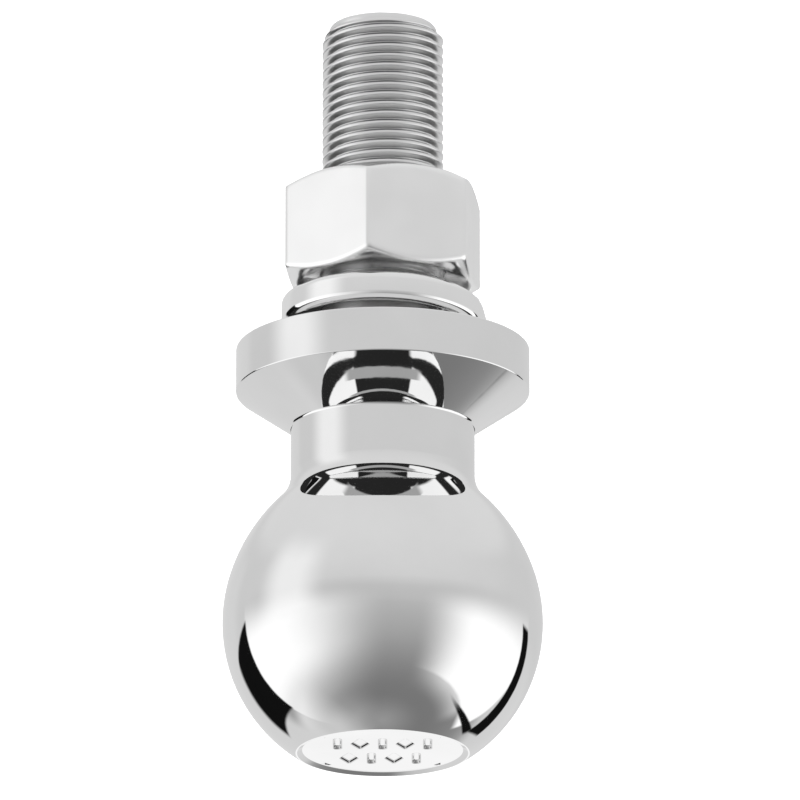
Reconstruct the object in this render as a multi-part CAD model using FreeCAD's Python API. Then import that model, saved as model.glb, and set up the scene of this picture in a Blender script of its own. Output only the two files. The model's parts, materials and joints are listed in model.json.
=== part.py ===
"""Trailer tow ball with its spring washer and nut, in millimetres.

The ball stands on top of its shank: +Z runs up the stud's axis towards the crown of the ball.
The origin is the centre of the flange's seat, the flat face that clamps on a tow bar.
"""

import FreeCAD, Part
import math
import os

from FreeCAD import Vector

INCH = 25.4

# Ball and crown
BALL_RADIUS = 25.0
BALL_CENTRE = 44.6  # its height above the seat
CROWN_HEIGHT = 21.0  # the crown's rim, above the ball's centre
CROWN_RIM_WIDTH = 0.25
CROWN_WALL_WIDTH = 0.8  # of the recess's sloping wall
CROWN_DEPTH = 0.45

# Stamped marks on the crown: two rows of plain bars and lozenges, which say nothing
MARK_LENGTH = 6.0
BAR_WIDTH = 1.2
LOZENGE_WIDTH = 2.8
MARK_SPACING = 3.5
MARK_DEPTH = 0.35
MARK_ROWS = ((5, -3.6), (4, 4.6))  # how many marks, and the row's place along Y

# Neck: below its equator the ball turns slightly fuller, then blends into the collar
SHOULDER_ANGLE = 18.0  # below the equator
SHOULDER_RADIUS = 29.0
BALL_FILLET = 6.0
COLLAR_RADIUS = 14.4

# Flange
FLANGE_RADIUS = 23.0
RIM_HEIGHT = 7.1
RIM_ROUND = 0.25
CONE_ANGLE = 35.0  # of the upper face, from the horizontal
CONE_FILLET = 0.5  # between the upper face and the collar

# Shank and its thread: 3/4 inch, 16 threads to the inch, right-hand
SHANK_RADIUS = 0.75 * INCH / 2
SHANK_LENGTH = 53.2
SHANK_END_ROUND = 1.0
LEAD_LENGTH = 1.2  # the plain end of the shank, which guides the nut on
LEAD_CLEARANCE = 0.05  # how far the lead stays inside the thread's root
PITCH = INCH / 16
THREAD_DEPTH = 0.6134 * PITCH
THREAD_FLAT = PITCH / 8
THREAD_FLANK_ANGLE = 30.0
PLAIN_TURNS = 3  # the shank is plain for this many pitches below the seat
GROOVE_OUTSIDE = 0.12  # how far the groove's cutter stands out of the metal
HELIX_STEPS = 24  # points on each turn of the thread
THREAD_CLEARANCE = 0.2  # radial, between the nut's thread and the shank's

# Nut
NUT_ACROSS_FLATS = 1.125 * INCH
NUT_HEIGHT = 16.3
NUT_TOP = -10.3  # the face towards the flange
NUT_CORNER_ANGLE = 38.2  # the direction of one corner
NUT_FACE_RADIUS = 13.6
NUT_CHAMFER_ANGLE = 30.0
NUT_COUNTERSINK = 0.9

# Spring washer: split, and sprung open along a left-hand helix
WASHER_INNER_RADIUS = 9.85
WASHER_OUTER_RADIUS = 15.9
WASHER_THICKNESS = 4.7
WASHER_TOP = -2.05  # the upper face at the end nearest the flange
WASHER_RISE = 3.45
WASHER_START_ANGLE = 167.0
WASHER_SPLIT_GAP = 5.0  # degrees
WASHER_OUTER_ROUND = 1.3
WASHER_INNER_ROUND = 0.4
WASHER_FLARE = 0.7  # how far the end nearest the flange springs outwards
WASHER_FLARE_SPAN = 0.05  # the share of the turn that the flare takes
WASHER_STATIONS = 41


def at(radius, height):
    """A point of a lathe profile, in the XZ plane."""
    return Vector(radius, 0, height)


def polar(length, degrees):
    """A vector in the XZ plane, its angle counted from +X towards +Z."""
    return at(length * math.cos(math.radians(degrees)), length * math.sin(math.radians(degrees)))


def line(start, end):
    return Part.LineSegment(start, end).toShape()


def arc_about(centre, radius, first, last):
    """An arc in the XZ plane between two angles in degrees."""
    middle = (first + last) / 2
    return Part.Arc(*[centre + polar(radius, a) for a in (first, middle, last)]).toShape()


def lathe(edges):
    """The solid that a closed profile in the XZ plane sweeps out around the Z axis."""
    outline = Part.Wire(Part.__sortEdges__(edges))
    return Part.Face(outline).revolve(Vector(0, 0, 0), Vector(0, 0, 1), 360)


def crown_edges():
    """The recessed floor, its sloping wall and the narrow flat rim around it."""
    rim_z = BALL_CENTRE + CROWN_HEIGHT
    rim_radius = math.sqrt(BALL_RADIUS**2 - CROWN_HEIGHT**2)
    wall_top = rim_radius - CROWN_RIM_WIDTH
    floor_z = rim_z - CROWN_DEPTH
    wall_foot = wall_top - CROWN_WALL_WIDTH
    corners = [at(0, floor_z), at(wall_foot, floor_z), at(wall_top, rim_z), at(rim_radius, rim_z)]
    return [line(a, b) for a, b in zip(corners, corners[1:])]


def ball_edges():
    """The ball, its fuller shoulder and the hollow fillet that ends on the collar."""
    centre = at(0, BALL_CENTRE)
    crown_angle = math.degrees(math.asin(CROWN_HEIGHT / BALL_RADIUS))
    shoulder_centre = centre + polar(BALL_RADIUS - SHOULDER_RADIUS, -SHOULDER_ANGLE)
    fillet_radius = COLLAR_RADIUS + BALL_FILLET
    reach = SHOULDER_RADIUS + BALL_FILLET
    drop = math.sqrt(reach**2 - (fillet_radius - shoulder_centre.x) ** 2)
    meeting_angle = math.degrees(math.asin(drop / reach))
    fillet_centre = at(fillet_radius, shoulder_centre.z - drop)
    return [
        arc_about(centre, BALL_RADIUS, -SHOULDER_ANGLE, crown_angle),
        arc_about(shoulder_centre, SHOULDER_RADIUS, -meeting_angle, -SHOULDER_ANGLE),
        arc_about(fillet_centre, BALL_FILLET, 180 - meeting_angle, 180),
    ]


def flange_edges():
    """The flange, from the fillet under the collar, over the cone and rim, to the seat."""
    rim_x = FLANGE_RADIUS - RIM_ROUND
    high_centre = at(rim_x, RIM_HEIGHT - RIM_ROUND)
    low_centre = at(rim_x, RIM_ROUND)
    square_to_cone = 90 - CONE_ANGLE
    cone_foot = high_centre + polar(RIM_ROUND, square_to_cone)
    root_x = COLLAR_RADIUS + CONE_FILLET
    slope = math.radians(CONE_ANGLE)
    cone_z = cone_foot.z + (cone_foot.x - root_x) * math.tan(slope)
    root_centre = at(root_x, cone_z + CONE_FILLET / math.cos(slope))
    return [
        arc_about(root_centre, CONE_FILLET, 180, 180 + square_to_cone),
        line(root_centre + polar(CONE_FILLET, 180 + square_to_cone), cone_foot),
        arc_about(high_centre, RIM_ROUND, 0, square_to_cone),
        line(high_centre + polar(RIM_ROUND, 0), low_centre + polar(RIM_ROUND, 0)),
        arc_about(low_centre, RIM_ROUND, -90, 0),
        line(at(SHANK_RADIUS, 0), at(rim_x, 0)),
    ]


def shank_edges():
    """The shank before its thread is cut, with a slimmer lead and a 45 degree slope at its end."""
    lead_radius = SHANK_RADIUS - THREAD_DEPTH - LEAD_CLEARANCE
    round_centre = at(lead_radius - SHANK_END_ROUND, SHANK_END_ROUND - SHANK_LENGTH)
    lead_start = at(lead_radius, round_centre.z)
    lead_end = at(lead_radius, LEAD_LENGTH - SHANK_LENGTH)
    slope_end = at(SHANK_RADIUS, lead_end.z + SHANK_RADIUS - lead_radius)
    return [
        line(slope_end, at(SHANK_RADIUS, 0)),
        line(lead_end, slope_end),
        line(lead_start, lead_end),
        arc_about(round_centre, SHANK_END_ROUND, -90, 0),
        line(at(0, -SHANK_LENGTH), at(round_centre.x, -SHANK_LENGTH)),
    ]


def stud_outline():
    """The whole closed profile of the stud, without its thread."""
    crown = crown_edges()
    ball = ball_edges()
    flange = flange_edges()
    collar_top = ball[-1].BoundBox.ZMin
    collar_bottom = flange[0].BoundBox.ZMax
    collar = line(at(COLLAR_RADIUS, collar_bottom), at(COLLAR_RADIUS, collar_top))
    axis = line(at(0, -SHANK_LENGTH), at(0, floor_height()))
    return crown + ball + flange + shank_edges() + [collar, axis]


def floor_height():
    return BALL_CENTRE + CROWN_HEIGHT - CROWN_DEPTH


def helix_turn(radius, height, lift):
    """One right-hand turn of a helix from the XZ plane, moving outwards by lift as it goes round."""
    steps = HELIX_STEPS
    angles = [2 * math.pi * i / steps for i in range(steps + 1)]
    rise = PITCH / (2 * math.pi)
    spread = lift / (2 * math.pi)
    points = []
    for a in angles:
        reach = radius + spread * a
        points.append(Vector(reach * math.cos(a), reach * math.sin(a), height + rise * a))
    curve = Part.BSplineCurve()
    curve.interpolate(
        Points=points,
        Parameters=angles,
        InitialTangent=Vector(spread, radius, rise),
        FinalTangent=Vector(spread, radius + lift, rise),
        Scale=False,
    )
    return curve.toShape()


def thread_groove(major_radius, first_turn, last_turn, run_out=False):
    """The V groove of a right-hand thread between two whole numbers of turns, counted from the seat.

    Every groove lies on one common helix, so a nut and a shank that are cut with it are in mesh.
    A groove that runs out leaves the metal over its last turn.
    """
    root = major_radius - THREAD_DEPTH
    root_half = THREAD_FLAT / 2
    mouth = major_radius + GROOVE_OUTSIDE
    mouth_half = root_half + (mouth - root) * math.tan(math.radians(THREAD_FLANK_ANGLE))
    corners = [(root, -root_half), (root, root_half), (mouth, mouth_half), (mouth, -mouth_half)]

    faces = []
    for turn in range(first_turn, last_turn):
        lift = THREAD_DEPTH + GROOVE_OUTSIDE if run_out and turn == last_turn - 1 else 0
        edges = [helix_turn(radius, height + turn * PITCH, lift) for radius, height in corners]
        faces += [Part.makeRuledSurface(a, b) for a, b in zip(edges, edges[1:] + edges[:1])]
    for turn, moved in ((first_turn, 0), (last_turn, lift)):
        points = [at(radius + moved, height + turn * PITCH) for radius, height in corners]
        faces.append(Part.Face(Part.makePolygon(points + points[:1])))
    shell = Part.makeShell(faces)
    shell.sewShape()
    return Part.makeSolid(shell)


def bar_mark(x, y, bottom):
    """The prism of one bar with round ends, lying along Y."""
    half_width = BAR_WIDTH / 2
    half_straight = MARK_LENGTH / 2 - half_width
    height = 2 * MARK_DEPTH
    corner = Vector(x - half_width, y - half_straight, bottom)
    middle = Part.makeBox(BAR_WIDTH, 2 * half_straight, height, corner)
    end_centres = [Vector(x, y + dy, bottom) for dy in (-half_straight, half_straight)]
    ends = [Part.makeCylinder(half_width, height, centre) for centre in end_centres]
    return middle.multiFuse(ends).removeSplitter()


def lozenge_mark(x, y, bottom):
    """The prism of one lozenge, longer along Y."""
    half_length = MARK_LENGTH / 2
    half_width = LOZENGE_WIDTH / 2
    tips = ((0, -half_length), (half_width, 0), (0, half_length), (-half_width, 0))
    corners = [Vector(x + dx, y + dy, bottom) for dx, dy in tips]
    return Part.Face(Part.makePolygon(corners + corners[:1])).extrude(Vector(0, 0, 2 * MARK_DEPTH))


def stamped_marks():
    """Rows of bars and lozenges in turn."""
    bottom = floor_height() - MARK_DEPTH
    marks = []
    for count, y in MARK_ROWS:
        for i in range(count):
            x = (i - (count - 1) / 2) * MARK_SPACING
            mark = bar_mark if i % 2 == 0 else lozenge_mark
            marks.append(mark(x, y, bottom))
    return marks


def tow_ball():
    """The forged stud: ball, neck, flange and threaded shank in one piece."""
    stud = lathe(stud_outline())
    first_turn = math.floor(-SHANK_LENGTH / PITCH) - 1
    stud = stud.cut(thread_groove(SHANK_RADIUS, first_turn, -PLAIN_TURNS, run_out=True))
    return stud.cut(stamped_marks())


def chamfered_envelope():
    """A solid of revolution that rounds off the nut's corners at both faces."""
    bottom = NUT_TOP - NUT_HEIGHT
    outside = NUT_ACROSS_FLATS
    fall = (outside - NUT_FACE_RADIUS) * math.tan(math.radians(NUT_CHAMFER_ANGLE))
    corners = [
        at(0, bottom), at(NUT_FACE_RADIUS, bottom), at(outside, bottom + fall),
        at(outside, NUT_TOP - fall), at(NUT_FACE_RADIUS, NUT_TOP), at(0, NUT_TOP),
    ]
    return lathe([line(a, b) for a, b in zip(corners, corners[1:] + corners[:1])])


def countersink(face_z, direction):
    """The cone that opens the nut's bore at one face; direction points out of the nut."""
    wide = SHANK_RADIUS + THREAD_CLEARANCE + NUT_COUNTERSINK / 2
    narrow = wide - 2 * NUT_COUNTERSINK
    inner = Vector(0, 0, face_z - direction * 2 * NUT_COUNTERSINK)
    return Part.makeCone(narrow, wide, 2 * NUT_COUNTERSINK, inner, Vector(0, 0, direction))


def hex_nut():
    """A hexagon nut, chamfered at both faces, with a thread in mesh with the shank's."""
    bottom = NUT_TOP - NUT_HEIGHT
    corner_radius = NUT_ACROSS_FLATS / 2 / math.cos(math.radians(30))
    angles = [math.radians(NUT_CORNER_ANGLE + 60 * i) for i in range(6)]
    corners = [Vector(corner_radius * math.cos(a), corner_radius * math.sin(a), bottom) for a in angles]
    prism = Part.Face(Part.makePolygon(corners + corners[:1])).extrude(Vector(0, 0, NUT_HEIGHT))
    nut = prism.common(chamfered_envelope())

    tap_radius = SHANK_RADIUS + THREAD_CLEARANCE
    first_turn = math.floor(bottom / PITCH) - 2
    last_turn = math.ceil(NUT_TOP / PITCH) + 2
    rod = Part.makeCylinder(tap_radius, NUT_HEIGHT + 2 * PITCH, Vector(0, 0, bottom - PITCH))
    tap = rod.cut(thread_groove(tap_radius, first_turn, last_turn))
    return nut.cut([tap, countersink(NUT_TOP, 1), countersink(bottom, -1)])


def washer_section(turn):
    """The washer's rounded section at a share of its turn, counted from the end nearest the flange."""
    swing = 4 * (turn - 0.5) ** 3 + 0.5  # level over most of the turn and steep at both ends
    top = WASHER_TOP - WASHER_RISE * swing
    bottom = top - WASHER_THICKNESS
    flare = WASHER_FLARE * max(0, 1 - turn / WASHER_FLARE_SPAN) ** 2
    outer = WASHER_OUTER_RADIUS + flare
    inner = WASHER_INNER_RADIUS
    big, small = WASHER_OUTER_ROUND, WASHER_INNER_ROUND
    corners = [
        arc_about(at(outer - big, top - big), big, 90, 0),
        arc_about(at(outer - big, bottom + big), big, 0, -90),
        arc_about(at(inner + small, bottom + small), small, 270, 180),
        arc_about(at(inner + small, top - small), small, 180, 90),
    ]
    edges = []
    for arc, following in zip(corners, corners[1:] + corners[:1]):
        edges += [arc, line(arc.Vertexes[-1].Point, following.Vertexes[0].Point)]
    section = Part.Wire(edges)
    angle = WASHER_START_ANGLE + WASHER_SPLIT_GAP / 2 + turn * (360 - WASHER_SPLIT_GAP)
    section.rotate(Vector(0, 0, 0), Vector(0, 0, 1), angle)
    return section


def spring_washer():
    """A split spring lock washer, skinned over sections along its turn."""
    sections = [washer_section(i / (WASHER_STATIONS - 1)) for i in range(WASHER_STATIONS)]
    return Part.makeLoft(sections, True, False)


def main():
    os.makedirs("parts", exist_ok=True)
    nodes = {"tow_ball": tow_ball, "hex_nut": hex_nut, "spring_washer": spring_washer}
    for name, build in nodes.items():
        shape = build()
        shape.exportStep(os.path.join("parts", name + ".step"))
        state = "valid" if shape.isValid() else "NOT VALID"
        print(name, state, len(shape.Solids), "solid", round(shape.Volume, 1))


main()
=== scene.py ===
"""Trailer tow ball with its spring washer and nut, in mirror chrome, photographed ball-down.

Lengths are in millimetres until a mesh is made, where they become metres. Angles are in degrees.
The frame is the CAD model's: +Z up the stud towards the ball's crown, origin on the flange's seat.
"""

import json
import math

import bmesh
import bpy
from mathutils import Matrix, Vector


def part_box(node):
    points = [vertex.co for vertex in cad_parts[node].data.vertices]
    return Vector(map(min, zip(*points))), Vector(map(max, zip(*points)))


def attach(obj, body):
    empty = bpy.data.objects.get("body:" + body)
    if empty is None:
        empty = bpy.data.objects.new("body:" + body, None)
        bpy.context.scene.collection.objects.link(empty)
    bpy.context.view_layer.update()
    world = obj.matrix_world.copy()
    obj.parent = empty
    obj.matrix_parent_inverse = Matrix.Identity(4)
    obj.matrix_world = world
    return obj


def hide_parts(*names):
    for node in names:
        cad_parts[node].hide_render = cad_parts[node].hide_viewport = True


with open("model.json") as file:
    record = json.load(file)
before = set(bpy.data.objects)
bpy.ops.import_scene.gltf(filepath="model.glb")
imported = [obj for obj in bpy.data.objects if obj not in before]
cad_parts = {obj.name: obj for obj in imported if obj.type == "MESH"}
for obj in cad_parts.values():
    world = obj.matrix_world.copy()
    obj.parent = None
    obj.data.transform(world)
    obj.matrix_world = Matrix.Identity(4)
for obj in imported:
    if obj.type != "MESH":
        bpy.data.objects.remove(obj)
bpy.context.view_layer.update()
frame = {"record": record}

MM = 0.001
INCH = 25.4


def span(node):
    """A CAD node's lowest and highest corners, in millimetres."""
    low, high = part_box(node)
    return low / MM, high / MM


# ---------------------------------------------------------------- sizes from the frame

stud_low, stud_high = span("tow_ball")
nut_low, nut_high = span("hex_nut")
washer_low, washer_high = span("spring_washer")
MOUNTS = {m["name"]: m for m in frame["record"]["mounts"]}

BALL_RADIUS = stud_high.x
BALL_CENTRE = MOUNTS["coupler_ball"]["pos_m"][2] / MM
CROWN_Z = stud_high.z
SHANK_END = stud_low.z
SEAT_Z = MOUNTS["flange_seat"]["pos_m"][2] / MM

# ---------------------------------------------------------------- sizes of the details

CROWN_DEPTH = 0.45
CROWN_WALL_WIDTH = 0.8
CROWN_RIM_WIDTH = 0.25
CROWN_EDGE_ROUND = 0.25
CROWN_LEAD_ANGLE = 0.8  # each of the ball's last two steps before the crown's rim
CROWN_FLOOR_LEAD = 1.0  # the plain floor beside the wall's foot
SHOULDER_ANGLE = 18.0
SHOULDER_RADIUS = 29.0
BALL_FILLET = 6.0
COLLAR_RADIUS = 14.4
FLANGE_RADIUS = 23.0
RIM_HEIGHT = 7.1
RIM_ROUND = 0.25
CONE_ANGLE = 35.0
CONE_FILLET = 0.5

SHANK_RADIUS = 0.75 * INCH / 2
SHANK_END_ROUND = 1.0
LEAD_LENGTH = 1.2
LEAD_CLEARANCE = 0.05
PITCH = INCH / 16
THREAD_DEPTH = 0.6134 * PITCH  # the standard depth of a unified thread
THREAD_CLEARANCE = 0.2
LEAD_RADIUS = SHANK_RADIUS - THREAD_DEPTH - LEAD_CLEARANCE
PLAIN_TURNS = 3

NUT_ACROSS_FLATS = 1.125 * INCH
NUT_CORNER_ANGLE = 38.2
NUT_FACE_RADIUS = 13.6
NUT_CHAMFER_ANGLE = 30.0
NUT_COUNTERSINK = 0.9
NUT_CORNER_ROUND = 0.5
NUT_EDGE_ROUND = 0.5
NUT_CORNER_STEPS = 4  # to each side of a corner
NUT_FLAT_STEPS = 14

WASHER_INNER_RADIUS = 9.85
WASHER_OUTER_RADIUS = 15.9
WASHER_THICKNESS = 4.7
WASHER_TOP = washer_high.z
WASHER_RISE = washer_high.z - washer_low.z - WASHER_THICKNESS
WASHER_START_ANGLE = 167.0
WASHER_SPLIT_GAP = 5.0
WASHER_OUTER_ROUND = 1.3
WASHER_INNER_ROUND = 0.4
WASHER_FLARE = 0.7
WASHER_FLARE_SPAN = 0.05
WASHER_STATIONS = 240

SEGMENTS = 192  # around the stud
EASE_LIMIT = 0.45  # the most that rounding a corner takes of each straight beside it
WELD_DISTANCE = 2e-7  # in metres, as the meshes are
FLAT_EDGE = 1e-8

MARK_LENGTH = 6.0
BAR_WIDTH = 1.2
LOZENGE_WIDTH = 2.8
MARK_SPACING = 3.5
LOZENGE_SLANT = 0.89  # how far a point is from a lozenge's slanted side, over how far along X
MARK_DEPTH = 0.35
MARK_WALL_WIDTH = 0.35
MARK_OUTLINE_SHARE = 0.3  # how far down its wall a mark is at its own outline
MARK_ROWS = ((5, -3.6), (4, 4.6))
MARK_GRID = 0.14  # the cell of the fine mesh that holds the marks
MARK_PATCH = (18.0, 15.4)  # its size along X and Y
MARK_PATCH_Y = 0.5


# ---------------------------------------------------------------- profiles

def polar(length, degrees):
    """A point of a profile as (radius, height), its angle counted from outwards towards up."""
    angle = math.radians(degrees)
    return Vector((length * math.cos(angle), length * math.sin(angle)))


def around(radius, height, degrees):
    """A point at a radius from the Z axis, in a direction counted from +X towards +Y."""
    angle = math.radians(degrees)
    return Vector((radius * math.cos(angle), radius * math.sin(angle), height))


def arc(centre, radius, first, last, step=3.0):
    """Points along an arc, both ends included."""
    count = max(2, math.ceil(abs(last - first) / step))
    return [Vector(centre) + polar(radius, first + (last - first) * i / count) for i in range(count + 1)]


def eased(path, radius, steps=5):
    """The path with each inner corner rounded by an arc, as far as its neighbours leave room."""
    path = [Vector(p) for p in path]
    out = [path[0]]
    for before, corner, after in zip(path, path[1:], path[2:]):
        a, b = before - corner, after - corner
        half = a.angle(b) / 2
        reach = min(radius / math.tan(half), EASE_LIMIT * a.length, EASE_LIMIT * b.length)
        start, end = corner + a.normalized() * reach, corner + b.normalized() * reach
        for i in range(steps + 1):
            t = i / steps
            # a quadratic curve, which bends gently into both straights
            out.append(start * (1 - t) ** 2 + corner * 2 * t * (1 - t) + end * t**2)
    return out + [path[-1]]


def crown_angle():
    """Where the ball ends at the crown's rim, counted up from its equator."""
    return math.degrees(math.asin((CROWN_Z - BALL_CENTRE) / BALL_RADIUS))


def crown_path():
    """The rim, the sloping wall and the start of the crown's recessed floor, from outside in."""
    crown_height = CROWN_Z - BALL_CENTRE
    rim = math.sqrt(BALL_RADIUS**2 - crown_height**2)
    lead = Vector((0, BALL_CENTRE)) + polar(BALL_RADIUS, crown_angle() - CROWN_LEAD_ANGLE)
    wall = rim - CROWN_RIM_WIDTH
    foot = wall - CROWN_WALL_WIDTH
    floor = CROWN_Z - CROWN_DEPTH
    corners = [lead, (rim, CROWN_Z), (wall, CROWN_Z), (foot, floor), (foot - CROWN_FLOOR_LEAD, floor)]
    return eased(corners, CROWN_EDGE_ROUND)


def ball_path():
    """Collar, hollow fillet, shoulder and ball, from the collar up."""
    centre = Vector((0, BALL_CENTRE))
    shoulder_centre = centre + polar(BALL_RADIUS - SHOULDER_RADIUS, -SHOULDER_ANGLE)
    fillet_x = COLLAR_RADIUS + BALL_FILLET
    reach = SHOULDER_RADIUS + BALL_FILLET
    drop = math.sqrt(reach**2 - (fillet_x - shoulder_centre.x) ** 2)
    meeting = math.degrees(math.asin(drop / reach))
    fillet_centre = (fillet_x, shoulder_centre.y - drop)
    return (
        arc(fillet_centre, BALL_FILLET, 180, 180 - meeting)
        + arc(shoulder_centre, SHOULDER_RADIUS, -meeting, -SHOULDER_ANGLE, step=1.5)[1:]
        + arc(centre, BALL_RADIUS, -SHOULDER_ANGLE, crown_angle() - 2 * CROWN_LEAD_ANGLE, step=1.5)[1:]
    )


def flange_path():
    """The seat, rim, cone and fillet of the flange, from the shank outwards and up to the collar."""
    rim_x = FLANGE_RADIUS - RIM_ROUND
    high_centre = Vector((rim_x, RIM_HEIGHT - RIM_ROUND))
    square = 90 - CONE_ANGLE
    slope = math.radians(CONE_ANGLE)
    foot = high_centre + polar(RIM_ROUND, square)
    root_x = COLLAR_RADIUS + CONE_FILLET
    root_z = foot.y + (foot.x - root_x) * math.tan(slope) + CONE_FILLET / math.cos(slope)
    root_centre = Vector((root_x, root_z))
    return (
        [Vector((SHANK_RADIUS, SEAT_Z))]
        + arc((rim_x, RIM_ROUND), RIM_ROUND, -90, 0, step=15)
        + arc(high_centre, RIM_ROUND, 0, square, step=11)
        + arc(root_centre, CONE_FILLET, 180 + square, 180, step=4)
    )


# ---------------------------------------------------------------- threads

# one pitch of the thread from the groove's middle: share of the pitch, and share of the depth
THREAD_SHAPE = (
    (0.0, 0.0), (0.05, 0.02), (0.085, 0.09), (0.16, 0.32), (0.25, 0.60), (0.345, 0.90), (0.38, 0.98),
    (0.43, 1.0), (0.57, 1.0), (0.62, 0.98), (0.655, 0.90), (0.75, 0.60), (0.84, 0.32), (0.915, 0.09),
    (0.95, 0.02),
)


def thread_grid(angles, low, high, radius_at):
    """Rows of points that follow the right-hand helix between two heights, cut off level at both.

    radius_at(height, depth_share) gives the radius where the thread would stand at that share of its depth.
    """
    rows = []
    first = math.floor(low / PITCH) - 1
    last = math.ceil(high / PITCH)
    for turn in range(first, last + 1):
        for share, depth_share in THREAD_SHAPE:
            row = []
            for a in angles:
                height = min(max((turn + share + a / 360) * PITCH, low), high)
                row.append(around(radius_at(height, depth_share), height, a))
            rows.append(row)
    return rows


def shank_radius(height, depth_share):
    """The shank: thread with a run-out under the flange, inside the slope and lead at its end."""
    fade = min(1, max(0, (-PLAIN_TURNS * PITCH - height) / PITCH))
    thread = SHANK_RADIUS - THREAD_DEPTH * (1 - depth_share) * fade
    climb = SHANK_END_ROUND - min(height - SHANK_END, SHANK_END_ROUND)
    rounding = SHANK_END_ROUND - math.sqrt(max(0, SHANK_END_ROUND**2 - climb**2))
    slope = max(0, height - SHANK_END - LEAD_LENGTH)
    return min(thread, LEAD_RADIUS + slope) - rounding


def bore_radius(height, depth_share):
    """The nut's bore: the same thread with clearance, inside a countersink at each face."""
    thread = SHANK_RADIUS + THREAD_CLEARANCE - THREAD_DEPTH * (1 - depth_share)
    nearest_face = min(nut_high.z - height, height - nut_low.z)
    countersink = SHANK_RADIUS + THREAD_CLEARANCE + NUT_COUNTERSINK / 2 - nearest_face
    return max(thread, countersink)


# ---------------------------------------------------------------- meshes

def ring(radius, height, angles):
    """A level circle of points."""
    return [around(radius, height, a) for a in angles]


def skin(bm, rows, closed=False):
    """Faces between each row of points and the next, in their given order."""
    made = [[bm.verts.new(p * MM) for p in row] for row in rows]
    for lower, upper in zip(made, made[1:]):
        for i in range(len(lower) - 1):
            bm.faces.new((lower[i], lower[i + 1], upper[i + 1], upper[i]))
        if closed:
            bm.faces.new((lower[-1], lower[0], upper[0], upper[-1]))
    return made


def weld(bm):
    """Joins points that lie together, which closes seams and removes flattened faces."""
    bmesh.ops.remove_doubles(bm, verts=bm.verts, dist=WELD_DISTANCE)
    bmesh.ops.dissolve_degenerate(bm, edges=bm.edges, dist=FLAT_EDGE)


def finish_piece(bm, name, body, node, material):
    """Makes the mesh an object that rides on its body and stands for its CAD node."""
    bmesh.ops.recalc_face_normals(bm, faces=bm.faces)
    mesh = bpy.data.meshes.new(name)
    bm.to_mesh(mesh)
    bm.free()
    mesh.shade_smooth()
    piece = bpy.data.objects.new(name, mesh)
    bpy.context.scene.collection.objects.link(piece)
    piece.modifiers.new("even_shading", "WEIGHTED_NORMAL")
    mesh.materials.append(material)
    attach(piece, body)
    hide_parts(node)
    return piece


def mark_depth(x, y):
    """How far the stamped marks sink the crown's floor at a point."""
    deepest = 0.0
    for count, row_y in MARK_ROWS:
        for i in range(count):
            dx = abs(x - (i - (count - 1) / 2) * MARK_SPACING)
            dy = abs(y - row_y)
            if i % 2 == 0:
                half = BAR_WIDTH / 2
                inside = half - math.hypot(dx, max(0, dy - (MARK_LENGTH / 2 - half)))
            else:
                across = dx / (LOZENGE_WIDTH / 2) + dy / (MARK_LENGTH / 2)
                inside = (1 - across) * LOZENGE_WIDTH / 2 * LOZENGE_SLANT
            share = inside / MARK_WALL_WIDTH + MARK_OUTLINE_SHARE
            deepest = max(deepest, min(1.0, max(0.0, share)))
    # eased at the wall's top and foot
    return MARK_DEPTH * deepest**2 * (3 - 2 * deepest)


def crown_floor(bm, edge_ring, floor_z):
    """The recessed floor: a fine grid that holds the marks, and plain metal out to the recess's wall."""
    wide, deep = MARK_PATCH
    columns, lines = round(wide / MARK_GRID), round(deep / MARK_GRID)
    rows = []
    for j in range(lines + 1):
        y = MARK_PATCH_Y + deep * (j / lines - 0.5)
        row = []
        for i in range(columns + 1):
            x = wide * (i / columns - 0.5)
            row.append(Vector((x, y, floor_z - mark_depth(x, y))))
        rows.append(row)
    grid = skin(bm, rows)
    border = []
    for row in (grid[0], grid[-1]):
        border += [bm.edges.get((a, b)) for a, b in zip(row, row[1:])]
    for row, following in zip(grid, grid[1:]):
        border += [bm.edges.get((row[k], following[k])) for k in (0, -1)]
    outer = [bm.edges.get((a, b)) for a, b in zip(edge_ring, edge_ring[1:] + edge_ring[:1])]
    bmesh.ops.triangle_fill(bm, use_beauty=True, edges=border + outer, normal=(0, 0, 1))


def build_stud(material):
    """The forged stud: threaded shank, flange, neck, ball and crown in one skin."""
    bm = bmesh.new()
    angles = [360 * i / SEGMENTS for i in range(SEGMENTS + 1)]
    skin(bm, thread_grid(angles, SHANK_END, SEAT_Z, shank_radius))
    end_ring = ring(LEAD_RADIUS - SHANK_END_ROUND, SHANK_END, angles[:-1])
    skin(bm, [[Vector((0, 0, SHANK_END))] * SEGMENTS, end_ring], closed=True)
    path = flange_path() + ball_path() + crown_path()
    made = skin(bm, [ring(p.x, p.y, angles[:-1]) for p in path], closed=True)
    crown_floor(bm, made[-1], path[-1].y)
    weld(bm)
    return finish_piece(bm, "tow_ball_stud", "ball_stud", "tow_ball", material)


def hexagon(degrees):
    """The nut's outline radius in a direction, with its corners eased."""
    apothem = NUT_ACROSS_FLATS / 2
    half_side = math.radians(30)
    from_corner = math.radians((degrees - NUT_CORNER_ANGLE + 30) % 60 - 30)
    centre = (apothem - NUT_CORNER_ROUND) / math.cos(half_side)
    touch_x = centre + NUT_CORNER_ROUND * math.cos(half_side)
    touch = math.atan2(NUT_CORNER_ROUND * math.sin(half_side), touch_x)
    if abs(from_corner) < touch:
        across = centre * math.sin(from_corner)
        return centre * math.cos(from_corner) + math.sqrt(NUT_CORNER_ROUND**2 - across**2)
    return apothem / math.cos(half_side - abs(from_corner))


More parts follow.
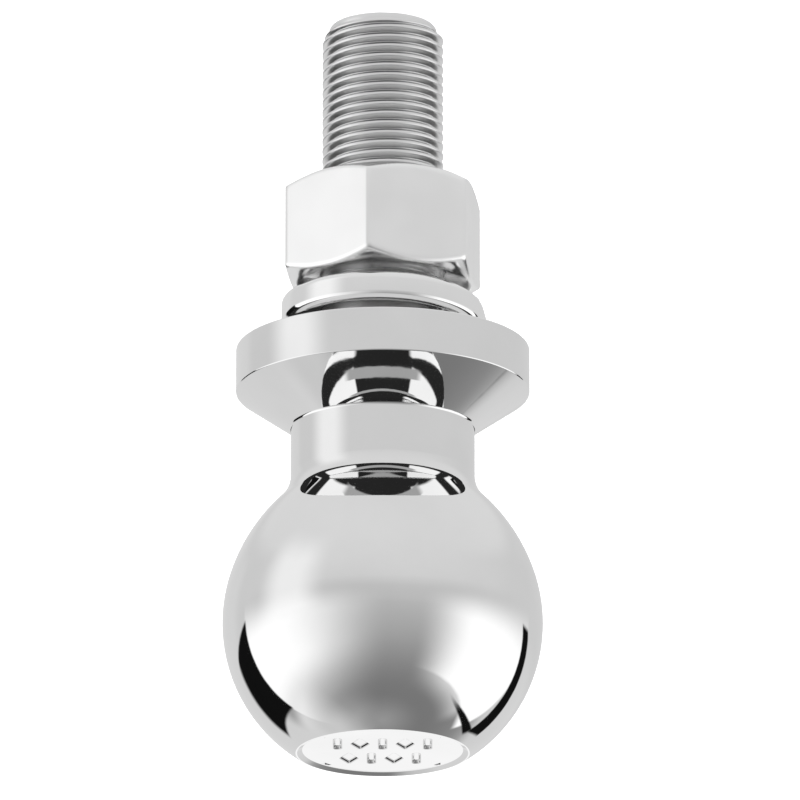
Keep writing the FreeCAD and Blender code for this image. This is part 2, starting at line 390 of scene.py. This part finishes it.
def nut_side(outer, face_z, inward):
    """Half of the nut's outline at one direction, from the bore's edge to mid-height.

    inward is -1 where the nut lies below the face and 1 where it lies above.
    """
    mouth = SHANK_RADIUS + THREAD_CLEARANCE + NUT_COUNTERSINK / 2
    fall = (outer - NUT_FACE_RADIUS) * math.tan(math.radians(NUT_CHAMFER_ANGLE))
    middle = (nut_low.z + nut_high.z) / 2
    corners = [(mouth, face_z), (NUT_FACE_RADIUS, face_z), (outer, face_z + inward * fall), (outer, middle)]
    return eased(corners, NUT_EDGE_ROUND, steps=4)


def build_nut(material):
    """The hexagon nut, with its chamfers and its threaded bore in one skin."""
    bm = bmesh.new()
    touch = math.degrees(math.asin(NUT_CORNER_ROUND / NUT_ACROSS_FLATS))
    steps = NUT_CORNER_STEPS
    offsets = [touch * k / steps for k in range(-steps, steps + 1)]
    offsets += [touch + (60 - 2 * touch) * k / NUT_FLAT_STEPS for k in range(1, NUT_FLAT_STEPS)]
    angles = [NUT_CORNER_ANGLE + 60 * side + offset for side in range(6) for offset in offsets]
    columns = []
    for a in angles:
        outer = hexagon(a)
        outline = nut_side(outer, nut_high.z, -1) + nut_side(outer, nut_low.z, 1)[::-1][1:]
        columns.append([(p.x, p.y) for p in outline])
    rows = [[around(*c[k], a) for a, c in zip(angles, columns)] for k in range(len(columns[0]))]
    skin(bm, rows, closed=True)
    skin(bm, thread_grid(angles + [angles[0] + 360], nut_low.z, nut_high.z, bore_radius))
    weld(bm)
    return finish_piece(bm, "hex_nut_chromed", "nut", "hex_nut", material)


def washer_section(turn):
    """The washer's rounded section at a share of its turn, as (radius, height) points.

    It falls most steeply near its two ends, and the end that starts the turn also springs outwards.
    """
    top = WASHER_TOP - WASHER_RISE * (4 * (turn - 0.5) ** 3 + 0.5)
    bottom = top - WASHER_THICKNESS
    outer = WASHER_OUTER_RADIUS + WASHER_FLARE * max(0, 1 - turn / WASHER_FLARE_SPAN) ** 2
    inner = WASHER_INNER_RADIUS
    big, small = WASHER_OUTER_ROUND, WASHER_INNER_ROUND
    return (
        arc((outer - big, top - big), big, 90, 0, step=10)
        + arc((outer - big, bottom + big), big, 0, -90, step=10)
        + arc((inner + small, bottom + small), small, -90, -180, step=18)
        + arc((inner + small, top - small), small, 180, 90, step=18)
    )


def build_washer(material):
    """The split spring washer, with a flat cut face at each end."""
    bm = bmesh.new()
    rows = []
    for i in range(WASHER_STATIONS + 1):
        turn = i / WASHER_STATIONS
        a = WASHER_START_ANGLE + WASHER_SPLIT_GAP / 2 + turn * (360 - WASHER_SPLIT_GAP)
        rows.append([around(p.x, p.y, a) for p in washer_section(turn)])
    made = skin(bm, rows, closed=True)
    bm.faces.new(made[0])
    bm.faces.new(made[-1])
    weld(bm)
    return finish_piece(bm, "spring_washer_split", "washer", "spring_washer", material)


# ---------------------------------------------------------------- materials

NOISE_RANGE = (0.3, 0.7)  # where nearly all of a noise texture's values lie
TONE_NOISE = (90, 3)  # scale and detail of each noise
TONE_SPREAD = (0.975, 1.02)
GLOSS_NOISE = (220, 4)
GLOSS_SPREAD = (0.6, 1.4)
SURFACE_NOISE = (400, 2)
SURFACE_STRENGTH = 0.02
SURFACE_DEPTH = 0.2
EDGE_SAMPLES = 12
THREAD_ROUGHNESS = 0.3
THREAD_TOP = ((SEAT_Z - PITCH) * MM, SEAT_Z * MM)  # the thread's dullness ends here, inside the plain band


def chrome(name, tone, roughness, seed, threaded=False, soft_edge=None):
    """Chrome plate: a mirror whose tone, gloss and surface vary slightly, as polished metal's do.

    A thread, below the seat, can't be polished and stays duller. Polishing softens corners by soft_edge.
    """
    material = bpy.data.materials.new(name)
    material.use_nodes = True
    nodes, links = material.node_tree.nodes, material.node_tree.links
    shader = nodes["Principled BSDF"]
    shader.inputs["Metallic"].default_value = 1.0
    place = nodes.new("ShaderNodeTexCoord")

    def noise(scale, detail):
        """A noise that is fixed to the piece."""
        texture = nodes.new("ShaderNodeTexNoise")
        texture.noise_dimensions = "4D"
        texture.inputs["W"].default_value = seed
        texture.inputs["Scale"].default_value = scale
        texture.inputs["Detail"].default_value = detail
        links.new(place.outputs["Object"], texture.inputs["Vector"])
        return texture.outputs["Fac"]

    def ramp(source, from_range, to_range):
        """source, carried from one range of values to another and held inside it."""
        spread = nodes.new("ShaderNodeMapRange")
        for label, ends in (("From", from_range), ("To", to_range)):
            for end, value in zip(("Min", "Max"), ends):
                spread.inputs[f"{label} {end}"].default_value = value
        links.new(source, spread.inputs["Value"])
        return spread.outputs["Result"]

    colour = nodes.new("ShaderNodeCombineColor")
    cloud = ramp(noise(*TONE_NOISE), NOISE_RANGE, [tone * k for k in TONE_SPREAD])
    for channel in ("Red", "Green", "Blue"):
        links.new(cloud, colour.inputs[channel])
    links.new(colour.outputs["Color"], shader.inputs["Base Color"])
    gloss = ramp(noise(*GLOSS_NOISE), NOISE_RANGE, [roughness * k for k in GLOSS_SPREAD])
    if threaded:
        height = nodes.new("ShaderNodeSeparateXYZ")
        links.new(place.outputs["Object"], height.inputs[0])
        dull = ramp(height.outputs["Z"], THREAD_TOP, (THREAD_ROUGHNESS, 0))
        duller = nodes.new("ShaderNodeMath")
        duller.operation = "MAXIMUM"
        links.new(gloss, duller.inputs[0])
        links.new(dull, duller.inputs[1])
        gloss = duller.outputs["Value"]
    links.new(gloss, shader.inputs["Roughness"])
    bump = nodes.new("ShaderNodeBump")
    bump.inputs["Strength"].default_value = SURFACE_STRENGTH
    bump.inputs["Distance"].default_value = SURFACE_DEPTH * MM
    links.new(noise(*SURFACE_NOISE), bump.inputs["Height"])
    if soft_edge:
        bevel = nodes.new("ShaderNodeBevel")
        bevel.samples = EDGE_SAMPLES
        bevel.inputs["Radius"].default_value = soft_edge * MM
        links.new(bevel.outputs["Normal"], bump.inputs["Normal"])
    links.new(bump.outputs["Normal"], shader.inputs["Normal"])
    return material


# ---------------------------------------------------------------- studio

STUDIO_LEVEL = 0.78
# how much light comes from in front, by elevation: pale floor, dim wall, dark ceiling
FRONT_LIGHT = ((-45, 0.98), (-19, 0.91), (-12, 0.77), (0, 0.67), (30, 0.46), (66, 0.27), (90, 0.44))

# What stands in the studio is placed by a window of azimuth and a window of elevation, in degrees. A window
# fades in over its first pair of edges and out over its last pair. An open end has its pair where no
# direction reaches.
CEILING = ((70, 120, 135, 175), (33, 45, 62, 80))
CEILING_LEVEL = 1.15
CEILING_SHARE = 0.9
CEILING_EDGE = ((0, 110, 130, 175), (38, 56, 74, 88))
CEILING_EDGE_LEVEL = 0.7
CEILING_EDGE_SHARE = 0.6
SIDE_WALLS = ((40, 140, 181, 182), (-40, -30, 24, 38))
SIDE_WALL_LEVEL = 0.86
FLOOR_POOL = ((40, 66, 78, 104), (-52, -30, -4, 4))
FLOOR_POOL_LEVEL = 1.24
BACK_WALLS = (
    ((122, 137, 181, 182), (-34, -24, 46, 60)),
    ((-182, -181, -137, -122), (-10, 0, 8, 46)),
)
BACK_WALL_LEVEL = 0.93
SOFTBOXES = (
    ((-120, -104, -76, -26), (-15, 5, 30, 62)),
    ((-131, -128, -76, -26), (-15, 5, 43, 48)),
    ((-7, 85, 116, 118), (-16, 4, 22, 64)),
)
SOFTBOX_LEVEL = 1.53
BACK_PANEL = ((168, 174, 181, 182), (0, 6, 50, 60))
BACK_PANEL_LEVEL = 1.32

# Black flags. A pair is a sloping edge: its slope, and where it crosses azimuth or elevation 0.
FLAG_LEVEL = 0.008
FLAG_FRONT = 116  # azimuth, of the flag behind the softbox at +X
FLAG_BACK = (0.4, 140)  # azimuth, by elevation
FLAG_BACK_SOFT = 3
FLAG_TOP = (-0.45, 89.2)  # elevation, by azimuth
FLAG_FOOT = (0.3, -43)
STRIPE_NEAR = (-0.45, -124)  # azimuth, by elevation, of the flag behind the softbox at -X
STRIPE_FAR = ((-0.667, -134.7), (0.815, -166.4))  # whichever is nearer
STRIPE_FOOT = -8  # elevation
ARC_START = -88  # azimuth, of the dark arc over the softbox at -X
ARC_TOP = 48  # elevation
ARC_FALL = -0.0056  # by the square of the azimuth past its start
ARC_WIDENING = -0.04  # of its half width, by the azimuth past its start
ARC_SOFT = 1.2
ARC_ACROSS = (-142, -138, -112, -82)

# what the chrome shows where it faces itself
SECOND_BOUNCE = 2.5  # a deeper ray has met the chrome twice or more
ROOM_LEVEL = 0.03
ROOM = ((-2, -1, 110, 116), (-32, -26, 62, 70))
ROOM_FLOOR = (-33, -30, -5, -3)
PANELS = ((38, 41, 90, 94), (-4, -2, 18, 21))
LEANING_PANELS = ((33, 40, 181, 182), (29, 31, 41, 43))
LEAN_START = 40  # aside, where the upper panels begin to climb
LEAN = -0.42
SCREEN = ((-2, -1, 46, 57), (2, 3, 12, 13.5))
SCREEN_BEND = -0.0035  # by the square of how far aside
SCREEN_LEVEL = 0.6


class Sky:
    """The world's nodes, with short names for arithmetic on the direction that a ray takes."""

    def __init__(self, tree):
        self.nodes, self.links = tree.nodes, tree.links
        place = self.nodes.new("ShaderNodeTexCoord")
        split = self.nodes.new("ShaderNodeSeparateXYZ")
        self.links.new(place.outputs["Generated"], split.inputs[0])
        x, y, z = split.outputs
        degree = 180 / math.pi
        self.elevation = self.times(self.math("ARCSINE", z), degree)
        self.azimuth = self.times(self.math("ARCTAN2", x, self.times(y, -1)), degree)
        self.aside = self.math("ABSOLUTE", self.azimuth)

    def put(self, value, socket):
        """Feeds a socket from a number or from another node."""
        if isinstance(value, (int, float)):
            socket.default_value = value
        else:
            self.links.new(value, socket)

    def math(self, operation, *values):
        """One arithmetic node."""
        node = self.nodes.new("ShaderNodeMath")
        node.operation = operation
        for value, socket in zip(values, node.inputs):
            self.put(value, socket)
        return node.outputs[0]

    def times(self, a, b):
        return self.math("MULTIPLY", a, b)

    def most(self, *values):
        """The largest of several values."""
        largest = values[0]
        for value in values[1:]:
            largest = self.math("MAXIMUM", largest, value)
        return largest

    def line(self, value, slope, start):
        """start, and slope more for each unit of value."""
        return self.math("MULTIPLY_ADD", value, slope, start)

    def mix(self, share, below, above):
        """below where share is 0 and above where it is 1."""
        node = self.nodes.new("ShaderNodeMix")
        self.put(share, node.inputs["Factor"])
        self.put(below, node.inputs["A"])
        self.put(above, node.inputs["B"])
        return node.outputs["Result"]

    def step(self, value, start, end):
        """0 before start and 1 after end, smooth between them; start may be the higher one."""
        node = self.nodes.new("ShaderNodeMapRange")
        node.interpolation_type = "SMOOTHSTEP"
        self.put(value, node.inputs["Value"])
        node.inputs["From Min"].default_value = min(start, end)
        node.inputs["From Max"].default_value = max(start, end)
        node.inputs["To Min"].default_value = 0.0 if start < end else 1.0
        node.inputs["To Max"].default_value = 1.0 if start < end else 0.0
        return node.outputs["Result"]

    def past(self, value, edge, soft=1):
        """1 where the value is past an edge, which may vary too."""
        return self.step(self.math("SUBTRACT", value, edge), -soft, soft)

    def window(self, value, edges):
        """1 between the inner two of four edges, and 0 outside the outer two."""
        fade_in, low, high, fade_out = edges
        return self.times(self.step(value, fade_in, low), self.step(value, fade_out, high))

    def patch(self, across, height, windows):
        """1 inside a window of azimuth and a window of elevation."""
        return self.times(self.window(across, windows[0]), self.window(height, windows[1]))

    def patches(self, places):
        """1 inside any of several patches."""
        return self.most(*[self.patch(self.azimuth, self.elevation, place) for place in places])


def front_light(sky):
    """A smooth curve through FRONT_LIGHT."""
    ramp = sky.nodes.new("ShaderNodeValToRGB")
    ramp.color_ramp.interpolation = "CARDINAL"
    stops = ramp.color_ramp.elements
    stops.remove(stops[1])
    for i, (degrees, light) in enumerate(FRONT_LIGHT):
        place = (degrees + 90) / 180
        stop = stops[0] if i == 0 else stops.new(place)
        stop.position = place
        stop.color = (light, light, light, 1)
    sky.put(sky.line(sky.elevation, 1 / 180, 0.5), ramp.inputs["Fac"])
    return ramp.outputs["Color"]


def pale_studio(sky):
    """The studio's ceiling, walls and floor, and the softbox at each side with its spill forwards."""
    azimuth, elevation = sky.azimuth, sky.elevation
    light = front_light(sky)
    ceiling = sky.patch(azimuth, elevation, CEILING)
    light = sky.mix(sky.times(ceiling, CEILING_SHARE), light, CEILING_LEVEL)
    edge = sky.patch(azimuth, elevation, CEILING_EDGE)
    light = sky.mix(sky.times(edge, CEILING_EDGE_SHARE), light, CEILING_EDGE_LEVEL)
    light = sky.mix(sky.patch(sky.aside, elevation, SIDE_WALLS), light, SIDE_WALL_LEVEL)
    light = sky.mix(sky.patch(azimuth, elevation, FLOOR_POOL), light, FLOOR_POOL_LEVEL)
    light = sky.mix(sky.patches(BACK_WALLS), light, BACK_WALL_LEVEL)
    return sky.mix(sky.patches(SOFTBOXES), light, SOFTBOX_LEVEL)


def black_flags(sky):
    """1 on the flag behind each softbox, and on the dark arc over the one at -X."""
    azimuth, elevation = sky.azimuth, sky.elevation
    flag = sky.past(azimuth, FLAG_FRONT)
    flag = sky.times(flag, sky.past(sky.line(azimuth, *FLAG_TOP), elevation))
    flag = sky.times(flag, sky.past(sky.line(elevation, *FLAG_BACK), azimuth, FLAG_BACK_SOFT))
    flag = sky.times(flag, sky.past(elevation, sky.line(azimuth, *FLAG_FOOT)))

    far = sky.most(*[sky.line(elevation, *edge) for edge in STRIPE_FAR])
    stripe = sky.past(azimuth, far)
    stripe = sky.times(stripe, sky.past(sky.line(elevation, *STRIPE_NEAR), azimuth))
    stripe = sky.times(stripe, sky.past(elevation, STRIPE_FOOT))

    beyond = sky.math("SUBTRACT", azimuth, ARC_START)
    height = sky.line(sky.times(beyond, beyond), ARC_FALL, ARC_TOP)
    off_middle = sky.math("ABSOLUTE", sky.math("SUBTRACT", elevation, height))
    outside = sky.math("SUBTRACT", off_middle, sky.times(beyond, ARC_WIDENING))
    arc_over = sky.times(sky.step(outside, ARC_SOFT, 0), sky.window(azimuth, ARC_ACROSS))
    return sky.most(flag, stripe, arc_over)


def inner_room(sky, light):
    """What the chrome shows of itself: a dark room around the camera, a pale screen and bright panels.

    The screen is in the middle, and at each side a panel stands under a leaning one.
    """
    aside, elevation = sky.aside, sky.elevation
    room = sky.most(sky.patch(aside, elevation, ROOM), sky.window(elevation, ROOM_FLOOR))
    panels = sky.patch(aside, elevation, PANELS)
    lean = sky.times(sky.most(sky.math("SUBTRACT", aside, LEAN_START), 0), LEAN)
    leaning = sky.patch(aside, sky.math("ADD", elevation, lean), LEANING_PANELS)
    bend = sky.times(sky.times(aside, aside), SCREEN_BEND)
    screen = sky.patch(aside, sky.math("ADD", elevation, bend), SCREEN)
    light = sky.mix(room, light, ROOM_LEVEL)
    light = sky.mix(sky.most(panels, leaning), light, SOFTBOX_LEVEL)
    return sky.mix(screen, light, SCREEN_LEVEL)


def build_world():
    """The studio as the chrome sees it, by direction: azimuth 0 is towards the camera, +90 is +X."""
    world = bpy.data.worlds.new("studio")
    bpy.context.scene.world = world
    world.use_nodes = True
    sky = Sky(world.node_tree)
    light = pale_studio(sky)
    light = sky.mix(black_flags(sky), light, FLAG_LEVEL)
    # straight behind is a bright panel, which the crown's flat shows
    light = sky.mix(sky.patch(sky.aside, sky.elevation, BACK_PANEL), light, BACK_PANEL_LEVEL)
    path = sky.nodes.new("ShaderNodeLightPath").outputs
    inner = sky.math("GREATER_THAN", path["Ray Depth"], SECOND_BOUNCE)
    light = sky.mix(inner, light, inner_room(sky, light))
    light = sky.times(light, STUDIO_LEVEL)
    # the backdrop itself is plain white
    light = sky.mix(path["Is Camera Ray"], light, 1.0)
    background = sky.nodes["Background"]
    sky.put(light, background.inputs["Strength"])
    background.inputs["Color"].default_value = (1, 1, 1, 1)


# ---------------------------------------------------------------- floor and camera

FLOOR_Z = -0.25
FLOOR_SIZE = 12.0
FLOOR_CELLS = 24
FLOOR_TONE = 0.93
FLOOR_LIGHT = 3.6
FLOOR_LIGHT_SPREAD = 60.0
CAMERA_ELEVATION = 17.0
CAMERA_DISTANCE = 2.5
CAMERA_SENSOR = 36.0
CAMERA_REACH = 50.0
PICTURE_WIDTH = 125.2  # what the picture spans at the stud
PICTURE_CENTRE = Vector((-2.7, 0, 8.2))


def build_floor():
    """A plain pale floor, lit evenly from above. The chrome sees the studio's own floor instead."""
    bm = bmesh.new()
    bmesh.ops.create_grid(bm, x_segments=FLOOR_CELLS, y_segments=FLOOR_CELLS, size=FLOOR_SIZE / 2)
    mesh = bpy.data.meshes.new("studio_floor")
    bm.to_mesh(mesh)
    bm.free()
    floor = bpy.data.objects.new("studio_floor", mesh)
    floor.location.z = FLOOR_Z
    material = bpy.data.materials.new("pale_floor")
    material.use_nodes = True
    shader = material.node_tree.nodes["Principled BSDF"]
    shader.inputs["Base Color"].default_value = (FLOOR_TONE, FLOOR_TONE, FLOOR_TONE, 1)
    shader.inputs["Roughness"].default_value = 1.0
    shader.inputs["Specular IOR Level"].default_value = 0.0
    mesh.materials.append(material)
    floor.visible_glossy = False
    bpy.context.scene.collection.objects.link(floor)

    lamp = bpy.data.lights.new("floor_wash", "SUN")
    lamp.energy = FLOOR_LIGHT
    lamp.angle = math.radians(FLOOR_LIGHT_SPREAD)
    wash = bpy.data.objects.new("floor_wash", lamp)
    wash.visible_glossy = False
    bpy.context.scene.collection.objects.link(wash)


def build_camera():
    """A long lens, looking slightly down on the stud and turned over so that the ball hangs down."""
    camera_data = bpy.data.cameras.new("camera")
    camera_data.sensor_width = CAMERA_SENSOR
    camera_data.lens = CAMERA_SENSOR * CAMERA_DISTANCE / (PICTURE_WIDTH * MM)
    camera_data.clip_end = CAMERA_REACH
    camera = bpy.data.objects.new("camera", camera_data)
    bpy.context.scene.collection.objects.link(camera)
    bpy.context.scene.camera = camera
    tilt = math.radians(CAMERA_ELEVATION)
    back = Vector((0, -math.cos(tilt), math.sin(tilt)))
    upright = (-back).to_track_quat("-Z", "Y").to_matrix().to_4x4()
    turned_over = upright @ Matrix.Rotation(math.pi, 4, "Z")
    camera.matrix_world = Matrix.Translation(PICTURE_CENTRE * MM + back * CAMERA_DISTANCE) @ turned_over


build_stud(chrome("mirror_chrome", tone=0.86, roughness=0.03, seed=1.0, threaded=True))
build_washer(chrome("washer_chrome", tone=0.91, roughness=0.05, seed=2.0))
build_nut(chrome("nut_chrome", tone=0.95, roughness=0.16, seed=3.0, soft_edge=1.1))
build_world()
build_floor()
build_camera()
bpy.context.scene.view_settings.view_transform = "Standard"
bpy.context.scene.cycles.glossy_bounces = 12
